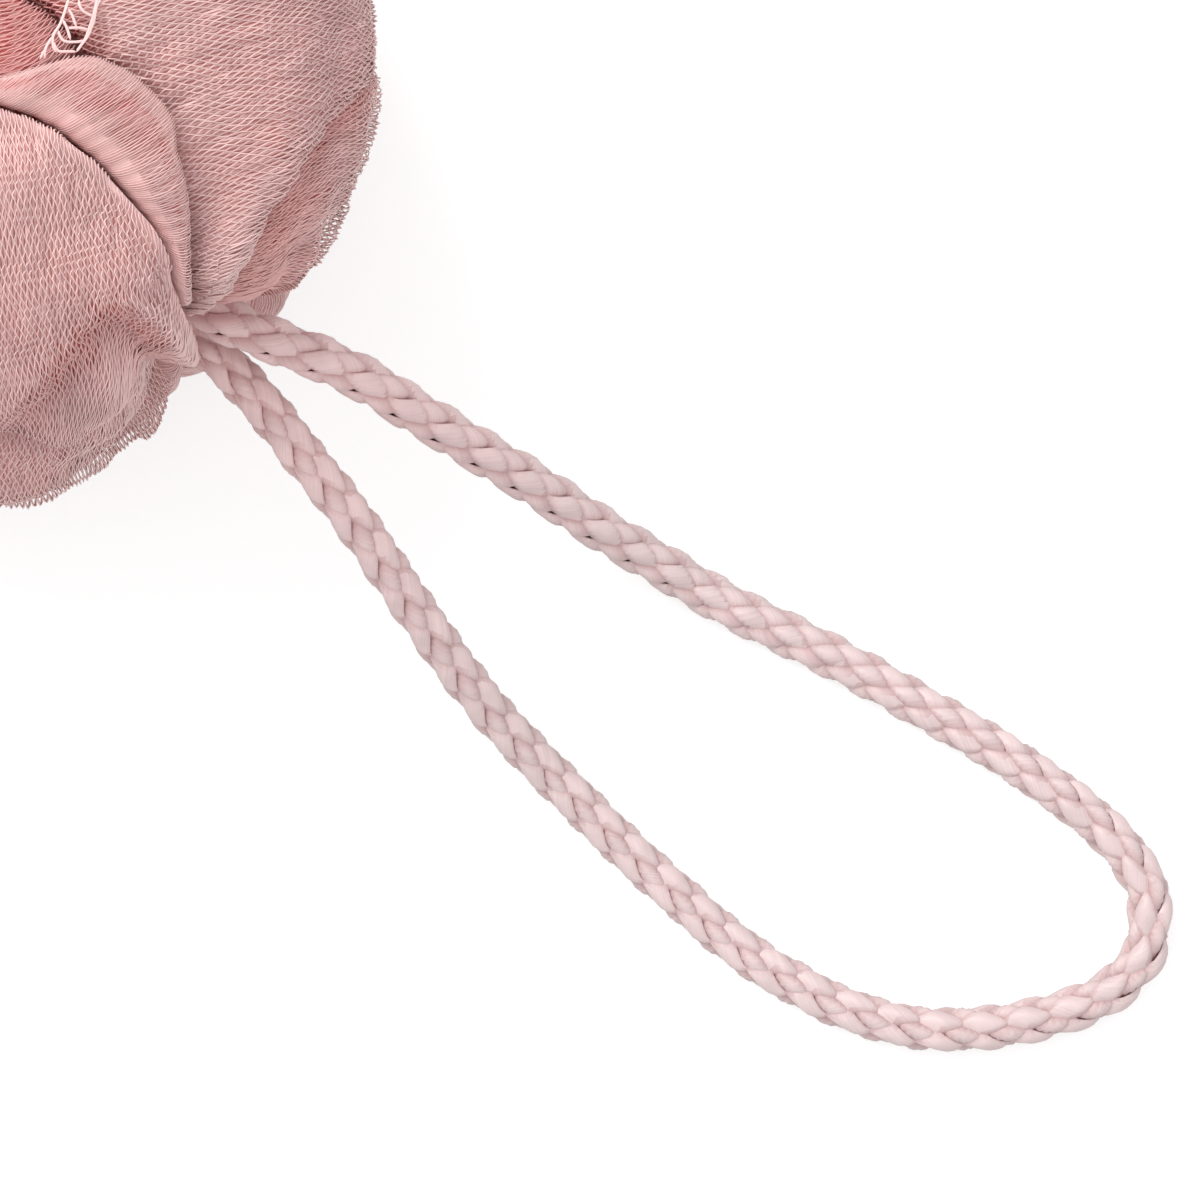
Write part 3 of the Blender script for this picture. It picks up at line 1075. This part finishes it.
# Knot. The loop's two ends are tied behind the mouth in one round knot of the same braid, which is too big to
# slip out through the gathered net.
KNOT_CORD_DIAMETER = 0.0052
KNOT_CLEARANCE = 0.0003
KNOT_DISTANCE = 0.033
KNOT_RINGS = 221
knot_wind = (KNOT_CORD_DIAMETER + KNOT_CLEARANCE) / 2
knot_ring = knot_wind + (KNOT_CORD_DIAMETER + KNOT_CLEARANCE) / math.sqrt(3)
knot_turn = np.linspace(0, 2 * math.pi, KNOT_RINGS)
knot_across = np.cos(2 * knot_turn)[:, None] * UPWARDS + np.sin(2 * knot_turn)[:, None] * SIDEWAYS
knot_line = MIDDLE + (knot_ring + knot_wind * np.cos(3 * knot_turn))[:, None] * knot_across
knot_line = knot_line + (KNOT_DISTANCE + knot_wind * np.sin(3 * knot_turn))[:, None] * TOWARDS_MOUTH
knot_along = distance_along(knot_line)
knot_turns = knot_along / knot_along[-1] * round(4 * knot_along[-1] / BRAID_PITCH) / 4
knot_facing = np.zeros(len(knot_line))
knot = braid("tied_knot", knot_line, knot_turns, TOWARDS_MOUTH, knot_facing, knot_facing, satin,
             KNOT_CORD_DIAMETER / CORD_DIAMETER)
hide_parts("cord_knot")

# Gathered core. The tube of net is drawn together in the middle of the ball, where it lies in lengthwise
# pleats, and is tied at the waist.
WAIST_DISTANCE = KNOT_DISTANCE - 0.0135
CORE_NECK_RADIUS = 0.0064
CORE_PROFILE = [
    (-0.0155, 0.0030), (-0.0135, 0.0068), (-0.0080, 0.0096), (0.0000, 0.0108), (0.0055, 0.0102),
    (0.0100, 0.0080), (WAIST_DISTANCE - 0.0050, CORE_NECK_RADIUS),
    (WAIST_DISTANCE + 0.0050, CORE_NECK_RADIUS), (KNOT_DISTANCE - 0.0072, 0.0074),
    (KNOT_DISTANCE - 0.0060, 0.0050),
]
CORE_PLEATS = 36
CORE_RINGS = 48
CORE_SIDES = 8 * CORE_PLEATS
core_at = np.linspace(CORE_PROFILE[-1][0], CORE_PROFILE[0][0], CORE_RINGS)[:, None]
core_angle = np.linspace(0, 2 * math.pi, CORE_SIDES, endpoint=False)[None]
core_pleat = 0.5 - 0.5 * np.cos(CORE_PLEATS * core_angle + 0.6 * np.sin(core_at * 300 + 3 * core_angle))
core_radius = read_line(CORE_PROFILE, core_at) * (1 - 0.10 * core_pleat)
core_across = np.cos(core_angle)[..., None] * UPWARDS + np.sin(core_angle)[..., None] * SIDEWAYS
core_rings = MIDDLE + core_at[..., None] * TOWARDS_MOUTH + core_radius[..., None] * core_across
core_rings[[0, -1]] = core_rings[[0, -1]].mean(axis=1, keepdims=True)
core_share = 0.5 - 0.49 * np.abs(2 * (core_angle[0] / (2 * math.pi)) - 1)
core_places = map_places(core_share, np.linspace(0.005, 0.995, CORE_RINGS))
core_faces = tube_faces(CORE_RINGS, CORE_SIDES)[:, ::-1]
core_shade = np.broadcast_to(0.35 + 0.6 * core_pleat, core_radius.shape)
core = build_mesh(
    "gathered_net_core",
    [(core_rings.reshape(-1, 3), core_faces, core_places, core_shade.ravel(), 0)],
    [net_packed],
)
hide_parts("net_core")

# Waist twine. Two thin yarns are twisted together and wound round the neck of the core, turn beside turn, so
# that the gathered net can't open again.
TWINE_DIAMETER = 0.0012
TWINE_TURNS = 5
TWINE_LAY = 0.0042
TWINE_STEPS = 72
YARN_SIDES = 10
twine_turn = np.linspace(0, TWINE_TURNS, TWINE_TURNS * TWINE_STEPS + 1)
twine_radius = CORE_NECK_RADIUS + KNOT_CLEARANCE + TWINE_DIAMETER / 2
twine_across = np.cos(2 * math.pi * twine_turn)[:, None] * UPWARDS
twine_across = twine_across + np.sin(2 * math.pi * twine_turn)[:, None] * SIDEWAYS
twine_at = WAIST_DISTANCE + (twine_turn - TWINE_TURNS / 2) * (TWINE_DIAMETER + KNOT_CLEARANCE)
twine_line = MIDDLE + twine_at[:, None] * TOWARDS_MOUTH + twine_radius * twine_across
twine_side = unit(np.cross(unit(np.gradient(twine_line, axis=0)), twine_across))
twine_parts = []
for yarn in range(2):
    lay = (math.pi * yarn + 2 * math.pi * distance_along(twine_line) / TWINE_LAY)[:, None]
    middle = twine_line + TWINE_DIAMETER / 4 * (np.cos(lay) * twine_across + np.sin(lay) * twine_side)
    rings = round_yarn(middle, twine_across, twine_side, 0.27 * TWINE_DIAMETER, YARN_SIDES)
    share = 0.5 * (yarn + 0.05 + 0.9 * np.abs(np.linspace(-1, 1, YARN_SIDES)))
    places = map_places(share, np.linspace(0, 1, len(rings)))
    faces = tube_faces(len(rings), YARN_SIDES)[:, ::-1]
    twine_parts.append((rings.reshape(-1, 3), faces, places, np.zeros(len(places)), 0))
twine = build_mesh("waist_twine_two_ply", twine_parts, [satin])
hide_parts("waist_twine")
